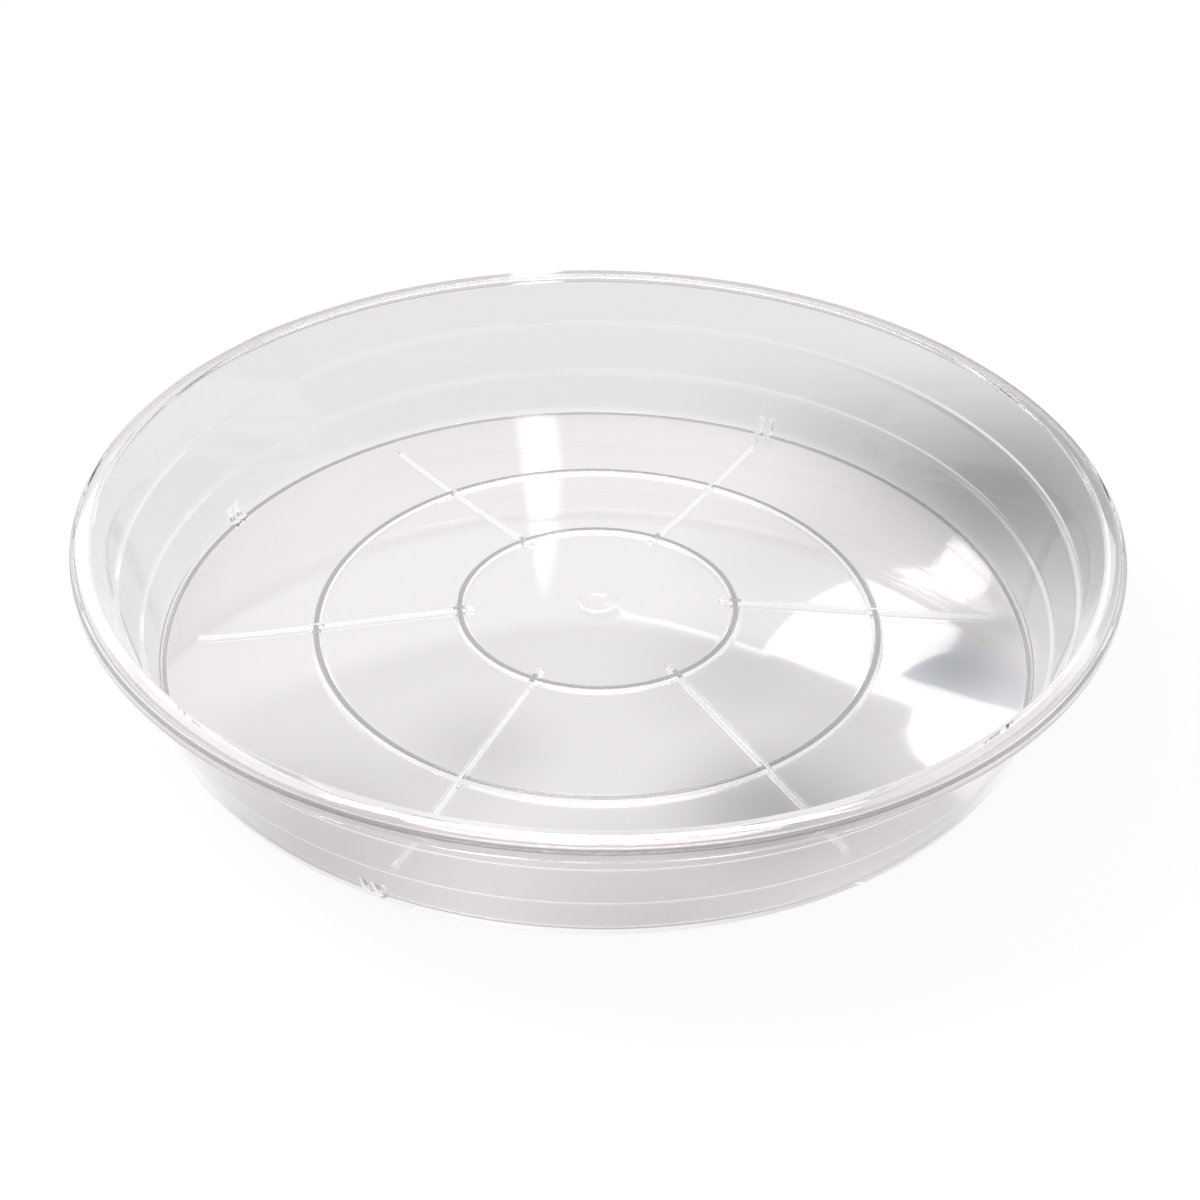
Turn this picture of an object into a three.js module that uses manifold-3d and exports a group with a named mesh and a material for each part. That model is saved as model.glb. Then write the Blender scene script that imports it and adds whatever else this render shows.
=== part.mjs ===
// A clear plastic plant saucer, moulded in one piece. Its floor is crowned and carries two ring ribs
// and six radial ribs, its flared wall has two small steps, and its rim turns down into a skirt.
// Millimetres, +Z up. The origin is on the table, at the middle of the foot.

import * as THREE from 'three';
import { mergeVertices } from 'three/addons/utils/BufferGeometryUtils.js';
import Module from 'manifold-3d';

const wasm = await Module();
wasm.setup();

// Overall size
const height = 47;
const rimRadius = 150;
const footRadius = 130.2;

// Floor: its middle stands higher than its edge, so water runs out to the corner
const floorThickness = 2;
const crownHeight = 9.6;
const footRingWidth = 3.4;
const footRounding = 1.5;
const cornerRounding = 2;

// Wall: its thickness is measured level, and each step moves it outwards
const wallThickness = 1.8;
const stepHeights = [14.4, 30.3];
const stepOut = 0.8;
const stepRise = 0.9;

// Rim: a flat top with rounded edges, and a skirt that turns down from its outer edge
const rimWidth = 6.3;
const rimThickness = 1.8;
const rimEdgeRounding = 2;
const dishEdgeRounding = 1;
const skirtDepth = 5.5;
const skirtThickness = 1.6;

// Ribs on the floor
const ringRibRadii = [41, 83.5];
const ringRibHeight = 1;
const radialRibCount = 6;
const radialRibHeight = 1.2;
const radialRibStart = 36;
const radialRibGap = 8;
const ribWidth = 3;
const ribDraft = 0.7;

// Lugs in the corner between floor and wall, each a pair of small gussets that keeps stacked saucers apart
const lugCount = 4;
const lugTurn = 60;
const lugHeight = 5;
const lugLength = 3.6;
const gussetThickness = 2.2;
const gussetGap = 1.4;

// Gate boss at the middle of the floor
const gateRadius = 6;
const gateHeight = 0.6;

// How finely round forms are divided
const turns = 60;
const floorSpacing = 12;
const arcPieces = 3;

const tidy = 1e-6;
const rimInnerRadius = rimRadius - rimWidth;
const flare = (rimInnerRadius + wallThickness - footRadius - stepOut * stepHeights.length) / height;
const flareAngle = Math.atan(flare);
const flareLength = Math.hypot(1, flare);

// The wall's outer and inner radius at a height
function outerRadius(z) {
  const steps = stepHeights.map((start) => THREE.MathUtils.clamp((z - start) / stepRise, 0, 1));
  return footRadius + flare * z + stepOut * steps.reduce((sum, part) => sum + part, 0);
}

function innerRadius(z) {
  return outerRadius(z) - wallThickness;
}

const footRoundingRadius = outerRadius(footRounding) - footRounding * flareLength;
const crownRadius = footRoundingRadius - footRingWidth;
const cornerHeight = floorThickness + cornerRounding;
const cornerRadius = innerRadius(cornerHeight) - cornerRounding * flareLength;

// The crown is level at the middle and at its edge, as a dished plate is
function crown(radius) {
  return radius < crownRadius ? crownHeight * (1 - (radius / crownRadius) ** 2) ** 2 : 0;
}

function floorTop(radius) {
  return floorThickness + crown(radius);
}

// Points of an arc in the profile, angles in radians from the outward direction
function arc(radius, z, size, from, to) {
  return Array.from({ length: arcPieces + 1 }, (_, i) => {
    const angle = THREE.MathUtils.lerp(from, to, i / arcPieces);
    return new THREE.Vector2(radius + size * Math.cos(angle), z + size * Math.sin(angle));
  });
}

// Points on the floor from one radius to another, both ends left out
function between(from, to, surface) {
  const pieces = Math.ceil(Math.abs(to - from) / floorSpacing);
  return Array.from({ length: pieces - 1 }, (_, i) => {
    const radius = THREE.MathUtils.lerp(from, to, (i + 1) / pieces);
    return new THREE.Vector2(radius, surface(radius));
  });
}

// The wall's corners at its steps, listed upwards
function wallSteps(radiusAt) {
  return stepHeights.flatMap((start) => [start, start + stepRise].map((z) => new THREE.Vector2(radiusAt(z), z)));
}

function underside() {
  return [
    new THREE.Vector2(0, crown(0)),
    ...between(0, crownRadius, crown),
    new THREE.Vector2(crownRadius, 0),
    ...arc(footRoundingRadius, footRounding, footRounding, -Math.PI / 2, -flareAngle),
    ...wallSteps(outerRadius),
  ];
}

function rim() {
  const flangeHeight = height - rimThickness;
  const halfSkirt = skirtThickness / 2;
  const dishEdgeHeight = height - dishEdgeRounding;
  const dishEdgeRadius = innerRadius(dishEdgeHeight) + dishEdgeRounding * flareLength;
  return [
    new THREE.Vector2(outerRadius(flangeHeight), flangeHeight),
    new THREE.Vector2(rimRadius - skirtThickness, flangeHeight),
    ...arc(rimRadius - halfSkirt, height - skirtDepth + halfSkirt, halfSkirt, -Math.PI, 0),
    ...arc(rimRadius - rimEdgeRounding, height - rimEdgeRounding, rimEdgeRounding, 0, Math.PI / 2),
    ...arc(dishEdgeRadius, dishEdgeHeight, dishEdgeRounding, Math.PI / 2, Math.PI - flareAngle),
  ];
}

function ringRib(radius) {
  const half = ribWidth / 2;
  const top = floorTop(radius) + ringRibHeight;
  return [
    new THREE.Vector2(radius + half, floorTop(radius + half)),
    new THREE.Vector2(radius + half - ribDraft, top),
    new THREE.Vector2(radius - half + ribDraft, top),
    new THREE.Vector2(radius - half, floorTop(radius - half)),
  ];
}

// The floor's upper side, listed from the wall inwards, with the ring ribs and the gate boss
function upperFloor() {
  const points = arc(cornerRadius, cornerHeight, cornerRounding, -flareAngle, -Math.PI / 2);
  let edge = cornerRadius;
  for (const radius of [...ringRibRadii].sort((a, b) => b - a)) {
    points.push(...between(edge, radius + ribWidth / 2, floorTop), ...ringRib(radius));
    edge = radius - ribWidth / 2;
  }
  points.push(
    ...between(edge, gateRadius, floorTop),
    new THREE.Vector2(gateRadius, floorTop(gateRadius)),
    new THREE.Vector2(gateRadius - gateHeight, floorTop(0) + gateHeight),
    new THREE.Vector2(0, floorTop(0) + gateHeight),
  );
  return points;
}

// A closed solid from a geometry whose copies of a corner are merged
function solid(geometry) {
  geometry.deleteAttribute('normal');
  geometry.deleteAttribute('uv');
  const merged = mergeVertices(geometry, tidy);
  const faces = [];
  for (let i = 0; i < merged.index.count; i += 3) {
    const corners = [0, 1, 2].map((k) => merged.index.getX(i + k));
    if (new Set(corners).size === 3) faces.push(...corners);
  }
  const vertProperties = new Float32Array(merged.attributes.position.array);
  const mesh = new wasm.Mesh({ numProp: 3, vertProperties, triVerts: new Uint32Array(faces) });
  return new wasm.Manifold(mesh);
}

function turnedBody() {
  const profile = [...underside(), ...rim(), ...wallSteps(innerRadius).reverse(), ...upperFloor()];
  return solid(new THREE.LatheGeometry(profile, turns).rotateX(Math.PI / 2));
}

// A plate that stands along a radius: its outline is drawn in radius and height, and it is centred on the radius
function radialPlate(outline, thickness, draft, sideways, angle) {
  const shape = new THREE.Shape(outline);
  const geometry = new THREE.ExtrudeGeometry(shape, {
    depth: thickness - 2 * draft,
    bevelEnabled: draft > 0,
    bevelThickness: draft,
    bevelSize: draft,
    bevelOffset: -draft,
    bevelSegments: 1,
  });
  geometry.translate(0, 0, draft - thickness / 2);
  geometry.rotateX(Math.PI / 2);
  geometry.translate(0, sideways, 0);
  geometry.rotateZ(THREE.MathUtils.degToRad(angle));
  return solid(geometry);
}

// A rib runs along the crowned floor, and its lower edge lies inside the floor's thickness
function radialRib(angle) {
  const end = cornerRadius - radialRibGap;
  const middle = (radius) => crown(radius) + floorThickness / 2;
  const top = (radius) => floorTop(radius) + radialRibHeight;
  const outline = [
    new THREE.Vector2(radialRibStart, middle(radialRibStart)),
    ...between(radialRibStart, end, middle),
    new THREE.Vector2(end, middle(end)),
    new THREE.Vector2(end, top(end)),
    ...between(end, radialRibStart, top),
    new THREE.Vector2(radialRibStart, top(radialRibStart)),
  ];
  return radialPlate(outline, ribWidth, ribDraft, 0, angle);
}

function gusset(sideways, angle) {
  const middle = floorThickness / 2;
  const inWall = (z) => innerRadius(z) + wallThickness / 2;
  const lugTop = floorThickness + lugHeight;
  const outline = [
    new THREE.Vector2(innerRadius(floorThickness) - lugLength, middle),
    new THREE.Vector2(inWall(middle), middle),
    new THREE.Vector2(inWall(lugTop), lugTop),
    new THREE.Vector2(innerRadius(lugTop), lugTop),
    new THREE.Vector2(innerRadius(floorThickness) - lugLength, floorThickness),
  ];
  return radialPlate(outline, gussetThickness, 0, sideways, angle);
}

function saucer() {
  let body = turnedBody();
  for (let i = 0; i < radialRibCount; i += 1) {
    body = body.add(radialRib((360 / radialRibCount) * i));
  }
  const sideways = (gussetThickness + gussetGap) / 2;
  for (let i = 0; i < lugCount; i += 1) {
    const angle = lugTurn + (360 / lugCount) * i;
    body = body.add(gusset(-sideways, angle)).add(gusset(sideways, angle));
  }
  const { vertProperties, triVerts } = body.getMesh();
  const geometry = new THREE.BufferGeometry();
  geometry.setAttribute('position', new THREE.BufferAttribute(vertProperties, 3));
  geometry.setIndex(new THREE.BufferAttribute(triVerts, 1));
  geometry.computeVertexNormals();
  return geometry;
}

const clearPlastic = new THREE.MeshStandardMaterial({
  color: 0xe9e6e6,
  roughness: 0.08,
  metalness: 0,
  transparent: true,
  opacity: 0.35,
});

const part = new THREE.Group();
const saucerMesh = new THREE.Mesh(saucer(), clearPlastic);
saucerMesh.name = 'saucer';
part.add(saucerMesh);

export default part;
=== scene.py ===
"""Model a clear moulded plant saucer and light it on a pale table.

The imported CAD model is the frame: its box gives the height and the rim. The saucer replaces the CAD
node, with round stretches finer than the CAD's, rounded ribs and clear plastic. What shows in clear
plastic is its surroundings, so the stage also has light cards that only gloss shows, and shades on the
table that only the plastic shows. Sizes are in metres, +Z is up, and the origin is on the table at the
middle of the foot.
"""

import math
from functools import partial

import bpy
from bpy.props import FloatProperty, IntProperty, PointerProperty, StringProperty
from bpy.types import Operator, Panel, PropertyGroup
from mathutils import Matrix, Quaternion, Vector


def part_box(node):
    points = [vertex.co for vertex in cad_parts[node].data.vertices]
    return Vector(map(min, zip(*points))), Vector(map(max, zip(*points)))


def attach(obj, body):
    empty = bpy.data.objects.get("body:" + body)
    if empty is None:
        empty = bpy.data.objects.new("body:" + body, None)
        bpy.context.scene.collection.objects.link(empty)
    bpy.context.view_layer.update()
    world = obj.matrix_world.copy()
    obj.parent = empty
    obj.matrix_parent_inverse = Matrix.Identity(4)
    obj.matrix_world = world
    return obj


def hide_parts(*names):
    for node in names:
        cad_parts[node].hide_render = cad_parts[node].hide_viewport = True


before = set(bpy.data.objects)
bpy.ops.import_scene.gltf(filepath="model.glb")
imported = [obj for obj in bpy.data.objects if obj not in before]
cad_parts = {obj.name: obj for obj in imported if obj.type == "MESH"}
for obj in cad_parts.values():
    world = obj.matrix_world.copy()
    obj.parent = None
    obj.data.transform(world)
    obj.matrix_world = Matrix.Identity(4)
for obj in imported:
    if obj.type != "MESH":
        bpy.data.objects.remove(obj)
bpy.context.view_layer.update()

bl_info = {
    "name": "Clear Plant Saucer",
    "version": (1, 0, 0),
    "blender": (4, 5, 0),
    "location": "View3D > Sidebar > Saucer",
    "description": "Models a clear moulded plant saucer and lights it on a pale table",
    "category": "Add Mesh",
}

MM = 0.001
NODE = "saucer"
BODY = "root"
PIECE = "clear_saucer"
TOP_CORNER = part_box(NODE)[1]

MERGE_DISTANCE = 1e-6
BEVEL_SEGMENTS = 3
SMOOTH_ANGLE = math.radians(30)

# Spacing of the points that draw the crowned floor, and the floor beside a ring rib that has none
FLOOR_SPACING = 3 * MM
RIB_MARGIN = 1 * MM

WHITE = "FFFFFF"
BLUE_GREY = "58C8FF"

# Glossy Depth is 1 in a first reflection and 2 in a reflection of one
FIRST_REFLECTION = 1.5

# Parts of a direction of length 1: upwards where the low surroundings turn bright, and away from the
# camera where the dim ceiling begins
HORIZON_HEIGHTS = (0.22, 0.30)
CEILING_DEPTHS = (0.1, 0.3)

# Soft shades that clear plastic shows on the table, each as x, y, radius and depth
TABLE_SHADES = (
    (0.150, 0.075, 0.105, 0.56),
    (0.104, -0.022, 0.030, 0.44),
    (0.118, 0.000, 0.022, 0.22),
    (0.044, -0.084, 0.042, 0.43),
    (0.042, -0.024, 0.045, 0.17),
    (-0.036, -0.055, 0.030, 0.15),
    (-0.080, -0.090, 0.055, 0.22),
    (0.085, -0.092, 0.040, 0.16),
    (0.060, 0.035, 0.045, 0.12),
    (0.072, -0.052, 0.032, 0.14),
    (0.010, -0.122, 0.055, 0.16),
    (0.085, 0.135, 0.060, 0.10),
)

# White cards far off, each as its name, the azimuths and elevations of its edges, strength and lean
FAR_CARDS = (
    ("window", (59, 71.1), (28.2, 38.9), 3.5, 0),
    ("left_softbox", (107, 117), (26, 57), 4, 0),
    ("right_softbox", (54, 63), (36, 57), 3, 0),
    ("front_softbox", (60, 112), (55, 60.5), 10, 0),
    ("overhead_softbox", (60, 112), (61, 75), 8, 0),
    ("step_lamp", (87, 93), (60, 76), 16, 0),
    ("lamp_line", (71, 85), (37.75, 38.35), 3, -11),
)

# Corners of the cards near by, each in metres to the right of and above the card's middle, in the order
# of a plane's corners
LENS_CORNERS = ((0.016, -0.012), (-0.002, -0.012), (0.016, 0.015), (-0.002, 0.015))
WEDGE_CORNERS = ((0.016, -0.030), (-0.011, -0.030), (0.016, -0.012), (-0.002, -0.012))
PANE_CORNERS = ((0.055, -0.0065), (0.0355, -0.0065), (0.055, 0.037), (0.0395, 0.037))
GLEAM_CORNERS = ((-0.008, -0.009), (0.017, -0.009), (-0.008, 0.011), (0.017, 0.011))
STRIP_CORNERS = ((-0.0345, 0.030), (-0.0125, 0.030), (-0.038, 0.150), (-0.026, 0.150))

# Cards near by, each as its name, azimuth and elevation, distance, corners, colour and strength
NEAR_CARDS = (
    ("dark_lens", 49.7, 33.2, 0.379, LENS_CORNERS, BLUE_GREY, 0.52),
    ("dark_wedge", 49.7, 33.2, 0.379, WEDGE_CORNERS, BLUE_GREY, 0.4),
    ("lower_pane", 52, 36, 0.3, PANE_CORNERS, WHITE, 3.5),
    ("gleam", 52.4, 25, 0.32, GLEAM_CORNERS, WHITE, 6),
    ("strip_lamp", 85.8, 0, 0.2, STRIP_CORNERS, WHITE, 4),
)

# The near card that fades, and where its fading starts: the share of its height, and of half its width
SOFT_CARD = "strip_lamp"
FADE_HEIGHT = 0.3
FADE_WIDTH = 0.05


def length(name, description, size):
    """A length property whose default is given in millimetres."""
    return FloatProperty(name=name, description=description, default=size * MM, unit="LENGTH", precision=5)


def distance(name, description, size):
    """A length property whose default is given in metres."""
    return FloatProperty(name=name, description=description, default=size, unit="LENGTH")


def angle(name, description, degrees):
    """An angle property whose default is given in degrees."""
    return FloatProperty(name=name, description=description, default=math.radians(degrees), subtype="ANGLE")


def share(name, description, size):
    """A property that runs from 0 to 1."""
    return FloatProperty(name=name, description=description, default=size, min=0, max=1, subtype="FACTOR")


def number(name, description, size):
    """A property without a unit, such as a strength."""
    return FloatProperty(name=name, description=description, default=size, min=0)


def colour(name, description, hex_colour):
    """A colour property, as an sRGB hex value."""
    return StringProperty(name=name, description=description, default=hex_colour)


def count(name, description, size):
    """A property that counts pieces."""
    return IntProperty(name=name, description=description, default=size, min=1)


class SaucerSizes(PropertyGroup):
    height: length("Height", "From the table to the rim's top", TOP_CORNER.z / MM)
    rim_radius: length("Rim radius", "To the outside of the skirt", TOP_CORNER.x / MM)
    foot_radius: length("Foot radius", "Outer wall carried down to the table", 130.2)
    wall_thickness: length("Wall thickness", "Measured level", 1.8)
    floor_thickness: length("Floor thickness", "The same all over the floor", 2)
    crown_height: length("Crown height", "How much higher the floor's middle stands than its edge", 9.6)
    foot_ring_width: length("Foot ring width", "Width of the flat ring that the saucer stands on", 3.4)
    foot_rounding: length("Foot rounding", "Rounding of the foot's outer corner", 1.5)
    corner_rounding: length("Corner rounding", "Fillet between floor and wall", 2)
    lower_step: length("Lower step", "Height of the wall's lower step", 14.4)
    upper_step: length("Upper step", "Height of the wall's upper step", 30.3)
    step_out: length("Step size", "How far a step moves the wall outwards", 0.8)
    step_rise: length("Step rise", "Height that a step takes", 0.9)
    step_rounding: length("Step rounding", "Rounding of a step's two bends", 1)
    rim_width: length("Rim width", "From the dish's edge to the outside of the skirt", 6.3)
    rim_thickness: length("Rim thickness", "Thickness of the flat rim", 1.8)
    rim_fall: length("Rim fall", "How much lower the rim's outer edge is than the dish's edge", 0.95)
    rim_rounding: length("Rim rounding", "Rounding of the rim's outer edge", 2)
    rim_under_rounding: length("Rim underside rounding", "Rounding of the rim's two bends below", 0.6)
    dish_rounding: length("Dish edge rounding", "Rounding where the wall turns over into the rim", 1)
    skirt_depth: length("Skirt depth", "From the rim's top to the skirt's lower edge", 5.5)
    skirt_thickness: length("Skirt thickness", "Thickness of the turned-down skirt", 1.6)
    skirt_roundness: share("Skirt roundness", "Rounding of its lower edge, by its thickness", 0.49)
    inner_ring: length("Inner ring rib", "Radius of the inner ring rib", 41)
    outer_ring: length("Outer ring rib", "Radius of the outer ring rib", 83.5)
    ring_height: length("Ring rib height", "Height of the ring ribs above the floor", 1)
    rib_width: length("Rib width", "Width of every rib at its foot", 3)
    ring_draft: length("Ring rib draft", "How much each side of a ring rib slopes in", 0.7)
    ring_rounding: length("Ring rib rounding", "Rounding of the ring ribs' edges", 0.4)
    radial_count: count("Radial ribs", "Number of radial ribs", 6)
    radial_height: length("Radial rib height", "Height of the radial ribs above the floor", 1.2)
    radial_draft: length("Radial rib draft", "How much each side of a radial rib slopes in", 0.7)
    radial_rounding: length("Radial rib rounding", "Rounding of the radial ribs' upper edges", 0.4)
    radial_start: length("Radial rib start", "Radius where the radial ribs start", 36)
    radial_gap: length("Radial rib gap", "From the radial ribs' outer ends to the corner", 8)
    gate_radius: length("Gate boss radius", "Round mark at the middle of the floor", 6)
    gate_height: length("Gate boss height", "Height of the round mark", 0.6)
    gate_foot_rounding: length("Gate boss foot", "Fillet where the round mark meets the floor", 0.2)
    gate_top_rounding: length("Gate boss rounding", "Rounding of the round mark's upper edge", 0.3)
    lug_count: count("Lugs", "Number of corner lugs", 4)
    lug_turn: angle("First lug", "Angle of the first lug", 60)
    lug_height: length("Lug height", "Height of the lugs above the floor's edge", 5)
    lug_length: length("Lug length", "Reach of the lugs from the wall at the floor", 3.6)
    gusset_thickness: length("Gusset thickness", "Each lug is two gussets of this thickness", 2.2)
    gusset_gap: length("Gusset gap", "Space between a lug's two gussets", 1.4)
    gusset_rounding: length("Gusset rounding", "Rounding of the gussets' edges", 0.5)
    # Where dark grey is painted as shade: the foot's outer edge, the rim's outer edge and the ring crests
    painted_shade_foot: length("Painted shade on foot", "Width of the foot ring's outer part painted with shade", 1.2)
    painted_shade_rim: length("Painted shade on rim", "Width of the rim's outermost edge painted with shade", 0.4)
    painted_shade_depth: length("Painted shade depth", "How far below the rim's top that reaches", 3)
    painted_shade_rise: length("Painted shade rise", "How far above the table the painted shade reaches", 0.1)
    painted_shade_crest: share("Painted shade crest", "Share of a ring rib's height above which shade is painted", 0.8)


class SaucerFinish(PropertyGroup):
    tint: colour("Tint", "Colour that light takes on in the plastic", "F2EFEF")
    shadow_tint: colour("Shadow tint", "Light that one face of the plastic lets through", "F6F5F5")
    ior: FloatProperty(name="Index of refraction", description="Of clear polystyrene", default=1.57, min=1)
    roughness: share("Roughness", "Of a polished mould's surface", 0.03)
    # Dark grey painted into the plastic as shade, for dark lines on ring crests, foot and rim edge
    painted_shade_tint: colour("Painted shade tint", "Dark grey painted as shade on the dark-lined places", "8C8C8C")
    painted_shade_roughness: share("Painted shade roughness", "Of the places painted with shade", 0.15)
    inner_bounces: number("Inner bounces", "Bounces inside the plastic before light gets out again", 1.5)
    ripple_size: length("Ripple size", "Distance between the faint ripples of moulded plastic", 22)
    ripple_depth: length("Ripple depth", "Depth of the ripples", 0.02)


class SaucerStage(PropertyGroup):
    lens: number("Lens", "Focal length on the camera's sensor, in millimetres", 66.48)
    sensor: number("Sensor", "Width of the camera's sensor, in millimetres", 36)
    camera_distance: length("Camera distance", "From the middle of the foot", 665.7)
    camera_elevation: angle("Camera elevation", "Above the table", 35.875)
    camera_azimuth: angle("Camera azimuth", "From +X, against the clock", -94.2)
    camera_pan: angle("Camera pan", "Turn to the right of the foot's middle", 0.059)
    camera_tilt: angle("Camera tilt", "Turn above the foot's middle", 0.852)
    camera_roll: angle("Camera roll", "Turn round the line of sight", 0.880)
    table_size: distance("Table size", "Side of the square table", 12)
    table_gap: length("Table gap", "Keeps the table's face off the foot's face", 0.1)
    table_colour: colour("Table colour", "Of the matt white table", "F4F4F4")
    table_glow: number("Table glow", "Keeps the table white where the lamps alone don't", 0.55)
    table_inside: number("Table inside", "Glow that clear plastic shows under the saucer", 0.60)
    table_outside: number("Table outside", "Glow that clear plastic shows round the saucer", 0.48)
    table_edge: length("Table edge", "Radius where the inner glow turns into the outer", 130)
    table_fade: length("Table fade", "Half the width over which it does", 15)
    sun_strength: number("Key strength", "Light that casts the soft shadow", 1.0)
    sun_azimuth: angle("Key azimuth", "Side that the key light comes from", 150)
    sun_elevation: angle("Key elevation", "Height that the key light comes from", 45)
    sun_width: angle("Key width", "How wide the key light is, which softens its shadow", 25)
    sun_distance: distance("Key distance", "From the saucer to the key light's mark", 2)
    fill: number("Fill", "Even light from all round", 0.30)
    bright: number("Bright surroundings", "What gloss shows of the low surroundings", 1.0)
    low: share("Low surroundings", "Share of that which is left near the horizon", 0.5)
    dim: number("Dim surroundings", "What gloss shows of the ceiling", 0.3)
    ceiling: angle("Ceiling edge", "Elevation where the bright surroundings end", 38.5)
    ceiling_blur: angle("Ceiling blur", "How softly they end", 1.5)
    ceiling_end: angle("Ceiling end", "Elevation where it turns bright again", 57)
    card_distance: distance("Card distance", "From the saucer to the far light cards", 60)


def flare(sizes):
    """How far the wall leans out for each metre of height, its steps left out."""
    top = sizes.rim_radius - sizes.rim_width + sizes.wall_thickness
    return (top - sizes.foot_radius - 2 * sizes.step_out) / sizes.height


def outer_radius(sizes, z):
    """The wall's outer radius at a height: its flare and the steps passed so far."""
    starts = (sizes.lower_step, sizes.upper_step)
    steps = sum(min(max((z - start) / sizes.step_rise, 0), 1) for start in starts)
    return sizes.foot_radius + flare(sizes) * z + sizes.step_out * steps


def inner_radius(sizes, z):
    """The wall's inner radius at a height."""
    return outer_radius(sizes, z) - sizes.wall_thickness


def crown_radius(sizes):
    """The radius where the floor's crown ends and the foot ring begins."""
    return sizes.foot_radius - sizes.foot_rounding - sizes.foot_ring_width


def painted_shade_from(sizes):
    """The radius where the painted shade on the foot ring starts."""
    return sizes.foot_radius - sizes.foot_rounding - sizes.painted_shade_foot


def crown(sizes, radius):
    """How much higher than its edge the floor stands: level at its middle and edge, as a dished plate is."""
    edge = crown_radius(sizes)
    return sizes.crown_height * (1 - (radius / edge) ** 2) ** 2 if radius < edge else 0


def floor_top(sizes, radius):
    """The height of the floor's upper side."""
    return sizes.floor_thickness + crown(sizes, radius)


def between(start, end, surface):
    """Corners on the floor from one radius to another, both ends left out."""
    pieces = math.ceil(abs(end - start) / FLOOR_SPACING)
    radii = [start + (end - start) * i / pieces for i in range(1, pieces)]
    return [(radius, surface(radius), 0) for radius in radii]


def rounded(corners, pieces=6):
    """Turn corners, each a radius, a height and a rounding, into points, with arcs at rounded corners."""
    points = []
    for i, (radius, z, rounding) in enumerate(corners):
        here = Vector((radius, z))
        if not rounding:
            points.append(here)
            continue
        to_last = (Vector(corners[i - 1][:2]) - here).normalized()
        to_next = (Vector(corners[i + 1][:2]) - here).normalized()
        half = to_last.angle(to_next) / 2
        middle = here + (to_last + to_next).normalized() * rounding / math.sin(half)
        first = here + to_last * rounding / math.tan(half) - middle
        turn = first.angle_signed(here + to_next * rounding / math.tan(half) - middle)
        points += [middle + Matrix.Rotation(-turn * k / pieces, 2) @ first for k in range(pieces + 1)]
    return points


def wall_steps(sizes, radius_at):
    """The wall's bends at its two steps, from the table up."""
    starts = (sizes.lower_step, sizes.upper_step)
    heights = [z for start in starts for z in (start, start + sizes.step_rise)]
    return [(radius_at(sizes, z), z, sizes.step_rounding) for z in heights]


def underside(sizes):
    """The floor's underside, the foot ring and the wall's outer side, from the middle outwards."""
    surface = partial(crown, sizes)
    edge = crown_radius(sizes)
    return [
        (0, surface(0), 0),
        *between(0, edge, surface),
        (edge, 0, 0),
        (painted_shade_from(sizes), 0, 0),
        (sizes.foot_radius, 0, sizes.foot_rounding),
        *wall_steps(sizes, outer_radius),
    ]


def rim(sizes):
    """The rim's underside, its skirt, its top and its turn into the dish."""
    under = sizes.height - sizes.rim_thickness
    skirt_inside = sizes.rim_radius - sizes.skirt_thickness
    skirt_end = sizes.height - sizes.skirt_depth
    skirt_rounding = sizes.skirt_thickness * sizes.skirt_roundness
    return [
        (outer_radius(sizes, under), under, sizes.rim_under_rounding),
        (skirt_inside, under, sizes.rim_under_rounding),
        (skirt_inside, skirt_end, skirt_rounding),
        (sizes.rim_radius, skirt_end, skirt_rounding),
        (sizes.rim_radius, sizes.height - sizes.rim_fall, sizes.rim_rounding),
        (inner_radius(sizes, sizes.height), sizes.height, sizes.dish_rounding),
    ]


def ring_rib(sizes, radius):
    """A ring rib's cross-section, from its outer foot over its crest to its inner foot."""
    half = sizes.rib_width / 2
    top = floor_top(sizes, radius) + sizes.ring_height
    crest = half - sizes.ring_draft
    return [
        (radius + half, floor_top(sizes, radius + half), sizes.ring_rounding),
        (radius + crest, top, sizes.ring_rounding),
        (radius - crest, top, sizes.ring_rounding),
        (radius - half, floor_top(sizes, radius - half), sizes.ring_rounding),
    ]


def upper_floor(sizes):
    """The floor's upper side from the wall inwards, with its two ring ribs and the gate boss."""
    surface = partial(floor_top, sizes)
    corner = inner_radius(sizes, sizes.floor_thickness)
    half = sizes.rib_width / 2
    gate_top = surface(0) + sizes.gate_height
    corners = [(corner, sizes.floor_thickness, sizes.corner_rounding)]
    edge = corner - sizes.corner_rounding
    for radius in (sizes.outer_ring, sizes.inner_ring):
        rib_edge = radius + half + RIB_MARGIN
        corners += [(edge, surface(edge), 0), *between(edge, rib_edge, surface)]
        corners += [(rib_edge, surface(rib_edge), 0), *ring_rib(sizes, radius)]
        edge = radius - half - RIB_MARGIN
    return [
        *corners,
        (edge, surface(edge), 0),
        *between(edge, sizes.gate_radius + RIB_MARGIN, surface),
        (sizes.gate_radius, surface(sizes.gate_radius), sizes.gate_foot_rounding),
        (sizes.gate_radius - sizes.gate_height, gate_top, sizes.gate_top_rounding),
        (0, gate_top, 0),
    ]


def select_only(piece):
    """Select one piece and make it active."""
    bpy.ops.object.select_all(action="DESELECT")
    piece.select_set(True)
    bpy.context.view_layer.objects.active = piece


def start_point(name, place):
    """Add a plane, merge it to one vertex and move that to its place, in edit mode."""
    bpy.ops.object.select_all(action="DESELECT")
    bpy.ops.mesh.primitive_plane_add(size=MM)
    piece = bpy.context.active_object
    piece.name = name
    piece.data.name = name
    bpy.ops.object.mode_set(mode="EDIT")
    bpy.ops.mesh.select_mode(type="VERT")
    bpy.ops.mesh.merge(type="CENTER")
    bpy.ops.transform.translate(value=place)
    return piece


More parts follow.
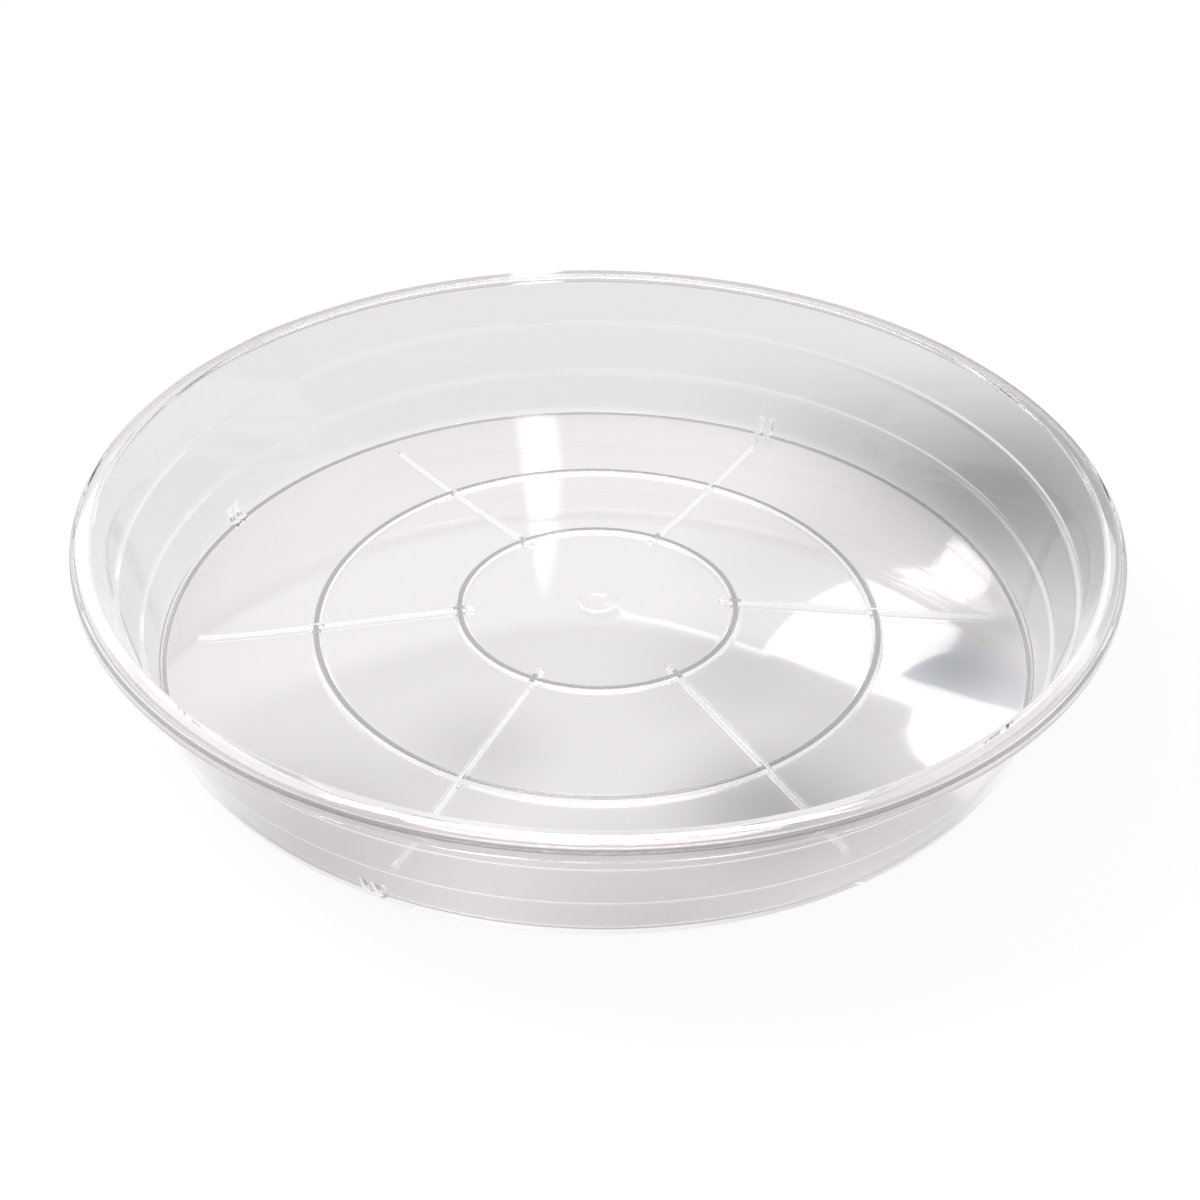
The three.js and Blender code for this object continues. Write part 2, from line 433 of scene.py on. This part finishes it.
def spin_outline(name, outline, steps=256):
    """Extrude a vertex along an outline of radii and heights, then spin it round the vertical axis."""
    path = [Vector((point.x, 0, point.y)) for point in outline]
    piece = start_point(name, path[0])
    for last, here in zip(path, path[1:]):
        bpy.ops.mesh.extrude_vertices_move(TRANSFORM_OT_translate={"value": here - last})
    bpy.ops.mesh.select_all(action="SELECT")
    bpy.ops.mesh.spin(steps=steps, angle=2 * math.pi, center=(0, 0, 0), axis=(0, 0, 1))
    bpy.ops.mesh.select_all(action="SELECT")
    bpy.ops.mesh.remove_doubles(threshold=MERGE_DISTANCE)
    bpy.ops.mesh.dissolve_degenerate(threshold=MERGE_DISTANCE)
    bpy.ops.mesh.normals_make_consistent(inside=False)
    bpy.ops.object.mode_set(mode="OBJECT")
    return piece


def cross_section(name, middle, wide, high):
    """Add an upright plane that faces along X, in edit mode, with its face selected."""
    bpy.ops.object.select_all(action="DESELECT")
    bpy.ops.mesh.primitive_plane_add(size=1, location=middle, rotation=(0, math.pi / 2, 0))
    piece = bpy.context.active_object
    piece.name = name
    piece.data.name = name
    piece.scale = (high, wide, 1)
    bpy.ops.object.transform_apply(location=True, rotation=True, scale=True)
    bpy.ops.object.mode_set(mode="EDIT")
    bpy.ops.mesh.select_all(action="SELECT")
    return piece


def pick_edges(piece, wanted):
    """Select only the edges of the edited mesh that pass a test of their two ends."""
    bpy.ops.mesh.select_mode(type="EDGE")
    bpy.ops.mesh.select_all(action="DESELECT")
    bpy.ops.object.mode_set(mode="OBJECT")
    for edge in piece.data.edges:
        edge.select = wanted(*(piece.data.vertices[i].co for i in edge.vertices))
    bpy.ops.object.mode_set(mode="EDIT")


def round_picked(rounding):
    """Bevel the selected edges, face the edited mesh outwards and leave edit mode."""
    bpy.ops.mesh.bevel(offset=rounding, segments=BEVEL_SEGMENTS, affect="EDGES")
    bpy.ops.mesh.select_all(action="SELECT")
    bpy.ops.mesh.normals_make_consistent(inside=False)
    bpy.ops.object.mode_set(mode="OBJECT")


def narrow_top(sizes, piece, start, end):
    """Draw a radial rib's top in from its sides and its two ends, as its draft asks."""
    for vertex in piece.data.vertices:
        is_top = vertex.co.z > crown(sizes, vertex.co.x) + sizes.floor_thickness
        if is_top:
            vertex.co.y -= math.copysign(sizes.radial_draft, vertex.co.y)
            if vertex.co.x < start + MERGE_DISTANCE:
                vertex.co.x += sizes.radial_draft
            if vertex.co.x > end - MERGE_DISTANCE:
                vertex.co.x -= sizes.radial_draft


def radial_rib(sizes, name, pieces=24):
    """Extrude a cross-section along the crowned floor, narrow its top and round its edges and ends."""
    start = sizes.radial_start
    end = inner_radius(sizes, sizes.floor_thickness) - sizes.corner_rounding - sizes.radial_gap
    radii = [start + (end - start) * i / pieces for i in range(pieces + 1)]
    foot_depth = sizes.floor_thickness / 2
    high = foot_depth + sizes.radial_height
    middle = [Vector((radius, 0, crown(sizes, radius) + foot_depth + high / 2)) for radius in radii]
    piece = cross_section(name, middle[0], sizes.rib_width, high)
    for last, here in zip(middle, middle[1:]):
        bpy.ops.mesh.extrude_region_move(TRANSFORM_OT_translate={"value": here - last})
    bpy.ops.object.mode_set(mode="OBJECT")
    narrow_top(sizes, piece, start, end)
    bpy.ops.object.mode_set(mode="EDIT")
    half_height = sizes.floor_thickness + sizes.radial_height / 2
    end_reach = sizes.radial_draft * 1.5

    def on_upper_edge(a, b):
        tops = [p.z > crown(sizes, p.x) + half_height for p in (a, b)]
        ends = [min(abs(p.x - start), abs(p.x - end)) < end_reach for p in (a, b)]
        along = abs(a.y - b.y) < MERGE_DISTANCE
        return all(tops) and (along or all(ends))

    pick_edges(piece, on_upper_edge)
    round_picked(sizes.radial_rounding)
    return piece


def gusset(sizes, name, sideways):
    """Shape one small upright plate of a lug: its back lies in the wall and its front slopes back."""
    low = sizes.floor_thickness / 2
    high = sizes.floor_thickness + sizes.lug_height
    front = inner_radius(sizes, sizes.floor_thickness) - sizes.lug_length
    wall_at_top = inner_radius(sizes, high)
    into_wall = sizes.wall_thickness / 2
    bpy.ops.object.select_all(action="DESELECT")
    bpy.ops.mesh.primitive_cube_add(size=1, location=(front, sideways, (low + high) / 2))
    piece = bpy.context.active_object
    piece.name = name
    piece.data.name = name
    piece.scale = (sizes.lug_length, sizes.gusset_thickness, high - low)
    bpy.ops.object.transform_apply(location=True, rotation=True, scale=True)
    for vertex in piece.data.vertices:
        is_back = vertex.co.x > front
        is_top = vertex.co.z > sizes.floor_thickness
        if is_back:
            vertex.co.x = inner_radius(sizes, vertex.co.z) + into_wall
        elif is_top:
            vertex.co.x = wall_at_top - 2 * sizes.gusset_rounding
        else:
            vertex.co.x = front
    bpy.ops.object.mode_set(mode="EDIT")
    pick_edges(piece, lambda a, b: max(a.x, b.x) < wall_at_top - sizes.gusset_rounding)
    round_picked(sizes.gusset_rounding)
    return piece


def copy_round(piece, turns):
    """Copy a piece to each of the turns, in radians, each copy with its own mesh, and remove the first."""
    pieces = []
    for i, turn in enumerate(turns):
        copy = piece.copy()
        copy.data = piece.data.copy()
        copy.name = f"{piece.name}_{i}"
        bpy.context.collection.objects.link(copy)
        copy.data.transform(Matrix.Rotation(turn, 4, "Z"))
        pieces.append(copy)
    bpy.data.objects.remove(piece)
    return pieces


def join(pieces, name):
    """Join pieces into one object of the given name."""
    bpy.ops.object.select_all(action="DESELECT")
    for piece in pieces:
        piece.select_set(True)
    bpy.context.view_layer.objects.active = pieces[0]
    bpy.ops.object.join()
    pieces[0].name = name
    pieces[0].data.name = name
    return pieces[0]


def unite(body, addition):
    """Fuse an addition into the body by a Boolean modifier, applied, and remove the addition."""
    select_only(body)
    modifier = body.modifiers.new("Union", "BOOLEAN")
    modifier.operation = "UNION"
    modifier.solver = "MANIFOLD"
    modifier.object = addition
    bpy.ops.object.modifier_apply(modifier=modifier.name)
    bpy.data.objects.remove(addition)


def mark_painted_shade(saucer, sizes):
    """Paint shade, by the second material, on ring rib crests and the outer edges of foot and rim."""
    crest = sizes.rib_width / 2 - sizes.ring_draft
    crest_height = sizes.ring_height * sizes.painted_shade_crest
    rim_low = sizes.height - sizes.painted_shade_depth
    for face in saucer.data.polygons:
        radius = math.hypot(face.center.x, face.center.y)
        ring = min((sizes.inner_ring, sizes.outer_ring), key=lambda r: abs(r - radius))
        on_crest = abs(radius - ring) < crest and face.center.z > floor_top(sizes, ring) + crest_height
        on_foot = radius > painted_shade_from(sizes) and face.center.z < sizes.painted_shade_rise
        on_rim = radius > sizes.rim_radius - sizes.painted_shade_rim and face.center.z > rim_low
        face.material_index = int(on_crest or on_foot or on_rim)


def linear(hex_colour):
    """An sRGB hex colour as linear red, green, blue and full alpha."""
    channels = [int(hex_colour[i:i + 2], 16) / 255 for i in (0, 2, 4)]
    return (*(c / 12.92 if c <= 0.04045 else ((c + 0.055) / 1.055) ** 2.4 for c in channels), 1)


def enabled(sockets, name):
    """The socket of that name that the node's settings switch on."""
    return next(socket for socket in sockets if socket.enabled and socket.name == name)


def add_node(tree, kind, inputs=None, **settings):
    """Add a node with its settings. An input takes a number, a colour or the output to link to it."""
    node = tree.nodes.new(kind)
    for name, value in settings.items():
        setattr(node, name, value)
    for key, value in (inputs or {}).items():
        socket = node.inputs[key] if isinstance(key, int) else enabled(node.inputs, key)
        if isinstance(value, bpy.types.NodeSocket):
            tree.links.new(value, socket)
        else:
            socket.default_value = value
    return node


def new_material(name):
    """A material with an empty node tree."""
    material = bpy.data.materials.new(name)
    material.use_nodes = True
    material.node_tree.nodes.clear()
    return material


def clear_polystyrene(finish, name, tint, roughness):
    """Clear moulded polystyrene: glassy and bright-edged, faintly warm grey, with slow mould ripples.

    With a dark grey tint it paints shade as dark lines on rib crests, foot and rim, with duller gleams.
    """
    material = new_material(name)
    tree = material.node_tree
    place = add_node(tree, "ShaderNodeTexCoord").outputs["Object"]
    ripples = add_node(tree, "ShaderNodeTexNoise", {
        "Vector": place, "Scale": 1 / finish.ripple_size, "Detail": 2.0, "Roughness": 0.4,
    })
    bump = add_node(tree, "ShaderNodeBump", {
        "Height": ripples.outputs["Fac"], "Distance": finish.ripple_depth, "Strength": 1.0,
    })
    plastic = add_node(tree, "ShaderNodeBsdfPrincipled", {
        "Base Color": linear(tint),
        "Roughness": roughness,
        "IOR": finish.ior,
        "Transmission Weight": 1.0,
        "Normal": bump.outputs["Normal"],
    })
    # Lamps shine through the plastic, so its shadow stays light, as that of a clear dish is
    path = add_node(tree, "ShaderNodeLightPath")
    lamps = add_node(tree, "ShaderNodeMath", {
        0: path.outputs["Is Shadow Ray"], 1: path.outputs["Is Diffuse Ray"],
    }, operation="MAXIMUM")
    # Light that has bounced about inside the plastic gets out straight, so edges don't turn black
    trapped = add_node(tree, "ShaderNodeMath", {
        0: path.outputs["Glossy Depth"], 1: finish.inner_bounces,
    }, operation="GREATER_THAN")
    straight = add_node(tree, "ShaderNodeMath", {
        0: lamps.outputs[0], 1: trapped.outputs[0],
    }, operation="MAXIMUM")
    let_through = add_node(tree, "ShaderNodeMix", {
        "Factor": trapped.outputs[0], "A": linear(finish.shadow_tint), "B": linear(WHITE),
    }, data_type="RGBA")
    shadow = add_node(tree, "ShaderNodeBsdfTransparent", {"Color": enabled(let_through.outputs, "Result")})
    mix = add_node(tree, "ShaderNodeMixShader", {
        0: straight.outputs[0], 1: plastic.outputs[0], 2: shadow.outputs[0],
    })
    add_node(tree, "ShaderNodeOutputMaterial", {"Surface": mix.outputs[0]})
    return material


def white_table(stage):
    """Matt white lacquer: plain white to the camera, with the saucer's shadow and soft shades below it."""
    material = new_material("white_table")
    tree = material.node_tree
    place = add_node(tree, "ShaderNodeTexCoord").outputs["Object"]
    far = add_node(tree, "ShaderNodeVectorMath", {0: place}, operation="LENGTH").outputs["Value"]
    behind = add_node(tree, "ShaderNodeMapRange", {
        "Value": far,
        "From Min": stage.table_edge - stage.table_fade,
        "From Max": stage.table_edge + stage.table_fade,
        "To Min": stage.table_inside,
        "To Max": stage.table_outside,
    }, interpolation_type="SMOOTHSTEP")
    for x, y, radius, depth in TABLE_SHADES:
        near = add_node(tree, "ShaderNodeVectorMath", {0: place, 1: (x, y, 0)}, operation="DISTANCE")
        shade = add_node(tree, "ShaderNodeMapRange", {
            "Value": near.outputs["Value"],
            "From Min": 0.0,
            "From Max": radius,
            "To Min": -depth,
            "To Max": 0.0,
        }, interpolation_type="SMOOTHSTEP")
        behind = add_node(tree, "ShaderNodeMath", {
            0: behind.outputs[0], 1: shade.outputs[0],
        }, operation="ADD")
    path = add_node(tree, "ShaderNodeLightPath")
    through = add_node(tree, "ShaderNodeMath", {
        0: path.outputs["Is Glossy Ray"], 1: path.outputs["Is Transmission Ray"],
    }, operation="MAXIMUM")
    through = add_node(tree, "ShaderNodeMath", {
        0: through.outputs[0], 1: behind.outputs[0],
    }, operation="MULTIPLY")
    glow = add_node(tree, "ShaderNodeMath", {
        0: path.outputs["Is Camera Ray"], 1: stage.table_glow, 2: through.outputs[0],
    }, operation="MULTIPLY_ADD")
    light = add_node(tree, "ShaderNodeEmission", {"Color": linear(WHITE), "Strength": glow.outputs[0]})
    matt = add_node(tree, "ShaderNodeBsdfDiffuse", {"Color": linear(stage.table_colour)})
    both = add_node(tree, "ShaderNodeAddShader", {0: light.outputs[0], 1: matt.outputs[0]})
    add_node(tree, "ShaderNodeOutputMaterial", {"Surface": both.outputs[0]})
    return material


def white_surroundings(scene, stage):
    """Light the world evenly, white to the camera. Gloss shows a bright room with a dimmer ceiling."""
    world = bpy.data.worlds.new("white_surroundings")
    world.use_nodes = True
    scene.world = world
    tree = world.node_tree
    tree.nodes.clear()
    direction = add_node(tree, "ShaderNodeTexCoord").outputs["Generated"]
    axes = add_node(tree, "ShaderNodeSeparateXYZ", {"Vector": direction})
    blur = stage.ceiling_blur
    above = add_node(tree, "ShaderNodeMapRange", {
        "Value": axes.outputs["Z"],
        "From Min": math.sin(stage.ceiling - blur),
        "From Max": math.sin(stage.ceiling + blur),
    }, interpolation_type="SMOOTHSTEP")
    beyond = add_node(tree, "ShaderNodeMapRange", {
        "Value": axes.outputs["Z"],
        "From Min": math.sin(stage.ceiling_end - blur),
        "From Max": math.sin(stage.ceiling_end + blur),
    }, interpolation_type="SMOOTHSTEP")
    ahead = add_node(tree, "ShaderNodeMapRange", {
        "Value": axes.outputs["Y"], "From Min": CEILING_DEPTHS[0], "From Max": CEILING_DEPTHS[1],
    }, interpolation_type="SMOOTHSTEP")
    ceiling = add_node(tree, "ShaderNodeMath", {
        0: above.outputs[0], 1: beyond.outputs[0],
    }, operation="SUBTRACT")
    ceiling = add_node(tree, "ShaderNodeMath", {
        0: ceiling.outputs[0], 1: ahead.outputs[0],
    }, operation="MULTIPLY")
    room = add_node(tree, "ShaderNodeMix", {
        "Factor": ceiling.outputs[0], "A": stage.bright, "B": stage.dim,
    })
    horizon = add_node(tree, "ShaderNodeMapRange", {
        "Value": axes.outputs["Z"],
        "From Min": HORIZON_HEIGHTS[0],
        "From Max": HORIZON_HEIGHTS[1],
        "To Min": stage.low,
        "To Max": 1.0,
    }, interpolation_type="SMOOTHSTEP")
    room = add_node(tree, "ShaderNodeMath", {
        0: room.outputs[0], 1: horizon.outputs[0],
    }, operation="MULTIPLY")
    path = add_node(tree, "ShaderNodeLightPath")
    glossy = add_node(tree, "ShaderNodeMath", {
        0: path.outputs["Is Glossy Ray"], 1: path.outputs["Is Transmission Ray"],
    }, operation="MAXIMUM")
    seen = add_node(tree, "ShaderNodeMix", {
        "Factor": glossy.outputs[0], "A": stage.fill, "B": room.outputs[0],
    })
    strength = add_node(tree, "ShaderNodeMix", {
        "Factor": path.outputs["Is Camera Ray"], "A": seen.outputs[0], "B": 1.0,
    })
    light = add_node(tree, "ShaderNodeBackground", {
        "Color": linear(WHITE), "Strength": strength.outputs[0],
    })
    add_node(tree, "ShaderNodeOutputWorld", {"Surface": light.outputs[0]})


def towards(azimuth, elevation, reach):
    """The point in a direction, at a distance from the origin."""
    level = math.cos(elevation)
    return reach * Vector((level * math.cos(azimuth), level * math.sin(azimuth), math.sin(elevation)))


def soft_strength(tree, strength, surroundings):
    """A card's strength that falls to that of its surroundings towards its top and both its sides."""
    place = add_node(tree, "ShaderNodeTexCoord").outputs["UV"]
    axes = add_node(tree, "ShaderNodeSeparateXYZ", {"Vector": place})
    upwards = add_node(tree, "ShaderNodeMapRange", {
        "Value": axes.outputs["Y"],
        "From Min": FADE_HEIGHT,
        "From Max": 1.0,
        "To Min": strength - surroundings,
        "To Max": 0.0,
    })
    sideways = add_node(tree, "ShaderNodeMath", {0: axes.outputs["X"], 1: 0.5}, operation="SUBTRACT")
    off_middle = add_node(tree, "ShaderNodeMath", {0: sideways.outputs[0]}, operation="ABSOLUTE")
    outwards = add_node(tree, "ShaderNodeMapRange", {
        "Value": off_middle.outputs[0],
        "From Min": FADE_WIDTH,
        "From Max": 0.5,
        "To Min": 1.0,
        "To Max": 0.0,
    }, interpolation_type="SMOOTHSTEP")
    soft = add_node(tree, "ShaderNodeMath", {
        0: upwards.outputs[0], 1: outwards.outputs[0], 2: surroundings,
    }, operation="MULTIPLY_ADD")
    return soft.outputs[0]


def light_card(card, name, hex_colour, strength, surroundings=None):
    """Name a card and make it glow, for first reflections only. Given its surroundings, it fades to them."""
    card.name = name
    material = new_material(name)
    tree = material.node_tree
    if surroundings is not None:
        strength = soft_strength(tree, strength, surroundings)
    path = add_node(tree, "ShaderNodeLightPath")
    first = add_node(tree, "ShaderNodeMath", {
        0: path.outputs["Glossy Depth"], 1: FIRST_REFLECTION,
    }, operation="LESS_THAN")
    shown = add_node(tree, "ShaderNodeMath", {0: first.outputs[0], 1: strength}, operation="MULTIPLY")
    glow = add_node(tree, "ShaderNodeEmission", {"Color": linear(hex_colour), "Strength": shown.outputs[0]})
    add_node(tree, "ShaderNodeOutputMaterial", {"Surface": glow.outputs[0]})
    card.data.materials.append(material)
    card.visible_camera = card.visible_diffuse = card.visible_shadow = False


def add_far_card(name, azimuths, elevations, reach, strength, lean):
    """Stand a white card where gloss shows it, given by its edges' directions and its lean in degrees."""
    left, right = (math.radians(a) for a in azimuths)
    low, high = (math.radians(e) for e in elevations)
    middle = towards((left + right) / 2, (low + high) / 2, reach)
    bpy.ops.object.select_all(action="DESELECT")
    bpy.ops.mesh.primitive_plane_add(size=1)
    card = bpy.context.active_object
    wide = 2 * reach * math.tan(abs(left - right) / 2) * math.cos((low + high) / 2)
    card.scale = (wide, 2 * reach * math.tan((high - low) / 2), 1)
    turn = middle.to_track_quat("Z", "Y") @ Quaternion((0, 0, 1), math.radians(lean))
    card.rotation_euler = turn.to_euler()
    card.location = middle
    light_card(card, name, WHITE, strength)


def add_near_card(name, azimuth, elevation, reach, corners, hex_colour, strength, surroundings):
    """Stand a card near the saucer, its corners given from its middle as the saucer sees it."""
    middle = towards(math.radians(azimuth), math.radians(elevation), reach)
    turn = middle.to_track_quat("Z", "Y").to_euler()
    bpy.ops.object.select_all(action="DESELECT")
    bpy.ops.mesh.primitive_plane_add(size=1, location=middle, rotation=turn)
    card = bpy.context.active_object
    for vertex, (right, up) in zip(card.data.vertices, corners):
        vertex.co = (-right, up, 0)
    light_card(card, name, hex_colour, strength, surroundings)


def add_key_light(stage):
    """A soft sun from the back left, so the shadow falls to the front right."""
    place = towards(stage.sun_azimuth, stage.sun_elevation, stage.sun_distance)
    bpy.ops.object.light_add(type="SUN", location=place)
    sun = bpy.context.active_object
    sun.name = "key_light"
    sun.data.energy = stage.sun_strength
    sun.data.angle = stage.sun_width
    sun.rotation_euler = place.to_track_quat("Z", "Y").to_euler()
    sun.visible_glossy = sun.visible_transmission = False


def add_camera(stage):
    """Stand the camera where the photograph was taken from, aimed at the foot and then turned a little."""
    bpy.ops.object.camera_add()
    camera = bpy.context.active_object
    camera.name = "camera"
    camera.data.lens = stage.lens
    camera.data.sensor_width = stage.sensor
    camera.data.clip_start = 10 * MM
    around = Matrix.Rotation(stage.camera_azimuth + math.pi / 2, 4, "Z")
    down = Matrix.Rotation(math.pi / 2 - stage.camera_elevation, 4, "X")
    away = Matrix.Translation((0, 0, stage.camera_distance))
    pan = Matrix.Rotation(-stage.camera_pan, 4, "Y")
    tilt = Matrix.Rotation(stage.camera_tilt, 4, "X")
    roll = Matrix.Rotation(stage.camera_roll, 4, "Z")
    camera.matrix_world = around @ down @ away @ pan @ tilt @ roll
    bpy.context.scene.camera = camera


class SAUCER_OT_stage(Operator):
    """Lay the table, set the camera and light the saucer"""
    bl_idname = "saucer.stage"
    bl_label = "Stage"

    def execute(self, context):
        stage = context.scene.saucer_stage
        bpy.ops.object.select_all(action="DESELECT")
        bpy.ops.mesh.primitive_plane_add(size=stage.table_size, location=(0, 0, -stage.table_gap))
        table = context.active_object
        table.name = "table"
        table.data.materials.append(white_table(stage))
        white_surroundings(context.scene, stage)
        for name, azimuths, elevations, strength, lean in FAR_CARDS:
            add_far_card(name, azimuths, elevations, stage.card_distance, strength, lean)
        for name, azimuth, elevation, reach, corners, hex_colour, strength in NEAR_CARDS:
            surroundings = stage.bright if name == SOFT_CARD else None
            add_near_card(name, azimuth, elevation, reach, corners, hex_colour, strength, surroundings)
        add_key_light(stage)
        add_camera(stage)
        context.scene.view_settings.view_transform = "Standard"
        return {"FINISHED"}


class SAUCER_OT_moulding(Operator):
    """Spin the saucer's outline: crowned floor, ring ribs, stepped wall, rim and skirt"""
    bl_idname = "saucer.moulding"
    bl_label = "Moulding"

    def execute(self, context):
        sizes = context.scene.saucer_sizes
        inner_wall = reversed(wall_steps(sizes, inner_radius))
        corners = [*underside(sizes), *rim(sizes), *inner_wall, *upper_floor(sizes)]
        spin_outline(PIECE, rounded(corners))
        return {"FINISHED"}


class SAUCER_OT_ribs(Operator):
    """Fuse the radial ribs onto the floor"""
    bl_idname = "saucer.ribs"
    bl_label = "Radial ribs"

    def execute(self, context):
        sizes = context.scene.saucer_sizes
        turns = [2 * math.pi * i / sizes.radial_count for i in range(sizes.radial_count)]
        ribs = copy_round(radial_rib(sizes, "radial_rib"), turns)
        unite(bpy.data.objects[PIECE], join(ribs, "radial_ribs"))
        return {"FINISHED"}


class SAUCER_OT_lugs(Operator):
    """Fuse the small lugs into the corner between floor and wall"""
    bl_idname = "saucer.lugs"
    bl_label = "Corner lugs"

    def execute(self, context):
        sizes = context.scene.saucer_sizes
        turns = [sizes.lug_turn + 2 * math.pi * i / sizes.lug_count for i in range(sizes.lug_count)]
        sideways = (sizes.gusset_thickness + sizes.gusset_gap) / 2
        lugs = []
        for side, name in ((-sideways, "left_gusset"), (sideways, "right_gusset")):
            lugs += copy_round(gusset(sizes, name, side), turns)
        unite(bpy.data.objects[PIECE], join(lugs, "corner_lugs"))
        return {"FINISHED"}


class SAUCER_OT_finish(Operator):
    """Smooth the saucer and give it its clear plastic"""
    bl_idname = "saucer.finish"
    bl_label = "Clear plastic"

    def execute(self, context):
        saucer = bpy.data.objects[PIECE]
        select_only(saucer)
        bpy.ops.object.shade_smooth_by_angle(angle=SMOOTH_ANGLE)
        saucer.data.materials.clear()
        finish = context.scene.saucer_finish
        # The second material paints dark grey shade on the ring crests and the outer edges of foot and rim
        for name, tint, roughness in (
            ("clear_moulded_polystyrene", finish.tint, finish.roughness),
            ("clear_polystyrene_painted_shade", finish.painted_shade_tint, finish.painted_shade_roughness),
        ):
            saucer.data.materials.append(clear_polystyrene(finish, name, tint, roughness))
        mark_painted_shade(saucer, context.scene.saucer_sizes)
        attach(saucer, BODY)
        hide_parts(NODE)
        return {"FINISHED"}


class SAUCER_PT_panel(Panel):
    """The steps that make the saucer, in order"""
    bl_idname = "SAUCER_PT_panel"
    bl_label = "Clear Plant Saucer"
    bl_space_type = "VIEW_3D"
    bl_region_type = "UI"
    bl_category = "Saucer"

    def draw(self, context):
        for operator in OPERATORS:
            self.layout.operator(operator.bl_idname)


SETTINGS = {"saucer_sizes": SaucerSizes, "saucer_finish": SaucerFinish, "saucer_stage": SaucerStage}
OPERATORS = (SAUCER_OT_stage, SAUCER_OT_moulding, SAUCER_OT_ribs, SAUCER_OT_lugs, SAUCER_OT_finish)
CLASSES = (*SETTINGS.values(), *OPERATORS, SAUCER_PT_panel)


def register():
    for item in CLASSES:
        bpy.utils.register_class(item)
    for name, group in SETTINGS.items():
        setattr(bpy.types.Scene, name, PointerProperty(type=group))


def unregister():
    for name in SETTINGS:
        delattr(bpy.types.Scene, name)
    for item in reversed(CLASSES):
        bpy.utils.unregister_class(item)


def main():
    register()
    bpy.ops.saucer.stage()
    bpy.ops.saucer.moulding()
    bpy.ops.saucer.ribs()
    bpy.ops.saucer.lugs()
    bpy.ops.saucer.finish()


if __name__ == "__main__":
    main()
